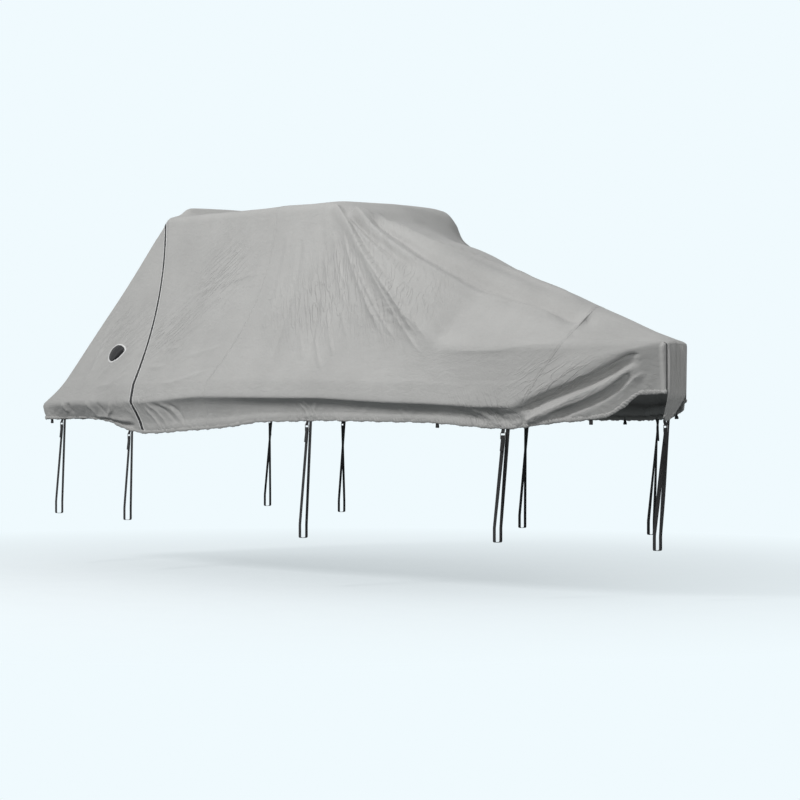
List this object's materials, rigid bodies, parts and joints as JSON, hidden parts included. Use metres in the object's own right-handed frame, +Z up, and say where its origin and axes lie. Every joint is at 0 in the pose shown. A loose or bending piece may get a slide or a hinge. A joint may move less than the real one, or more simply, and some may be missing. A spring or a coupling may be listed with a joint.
{
  "type": "boat cover",
  "caption": "Fitted grey cloth cover for a hard-top motor boat, with tie-down straps, buckles, side zips and vents",
  "frame": {"origin": "middle of the hard top whose upper face carries the cover: the cloth's underside there", "axes": "+X to the bow, +Y to port, +Z up"},
  "size_m": [6.5402, 2.4675, 2.7258],
  "materials": {
    "cover_cloth": "matt coated woven polyester",
    "zip_tape": "woven tape with a coil zip",
    "vent_plastic": "moulded, satin",
    "webbing": "flat woven polypropylene webbing",
    "buckle_steel": "zinc plated"
  },
  "bodies": {
    "root": {"stern_panel": "cover_cloth", "aft_panel": "cover_cloth", "middle_panel": "cover_cloth", "bow_panel": "cover_cloth", "nose_cap": "cover_cloth", "zip_starboard": "zip_tape", "zip_port": "zip_tape", "vent_starboard": "vent_plastic", "vent_port": "vent_plastic", "strap_stern_starboard": "webbing", "strap_stern_starboard_buckle_loop": "webbing", "strap_aft_starboard": "webbing", "strap_aft_starboard_buckle_loop": "webbing", "strap_mid_starboard": "webbing", "strap_mid_starboard_buckle_loop": "webbing", "strap_fore_starboard": "webbing", "strap_fore_starboard_buckle_loop": "webbing", "strap_stern_port": "webbing", "strap_stern_port_buckle_loop": "webbing", "strap_aft_port": "webbing", "strap_aft_port_buckle_loop": "webbing", "strap_mid_port": "webbing", "strap_mid_port_buckle_loop": "webbing", "strap_fore_port": "webbing", "strap_fore_port_buckle_loop": "webbing", "strap_nose": "webbing", "strap_nose_buckle_loop": "webbing", "loop_stern_starboard": "webbing", "loop_mid_starboard": "webbing", "loop_fore_starboard": "webbing", "loop_stern_port": "webbing", "loop_mid_port": "webbing", "loop_fore_port": "webbing", "strap_stern_starboard_buckle": "buckle_steel", "strap_aft_starboard_buckle": "buckle_steel", "strap_mid_starboard_buckle": "buckle_steel", "strap_fore_starboard_buckle": "buckle_steel", "strap_stern_port_buckle": "buckle_steel", "strap_aft_port_buckle": "buckle_steel", "strap_mid_port_buckle": "buckle_steel", "strap_fore_port_buckle": "buckle_steel", "strap_nose_buckle": "buckle_steel"}
  },
  "joints": []
}
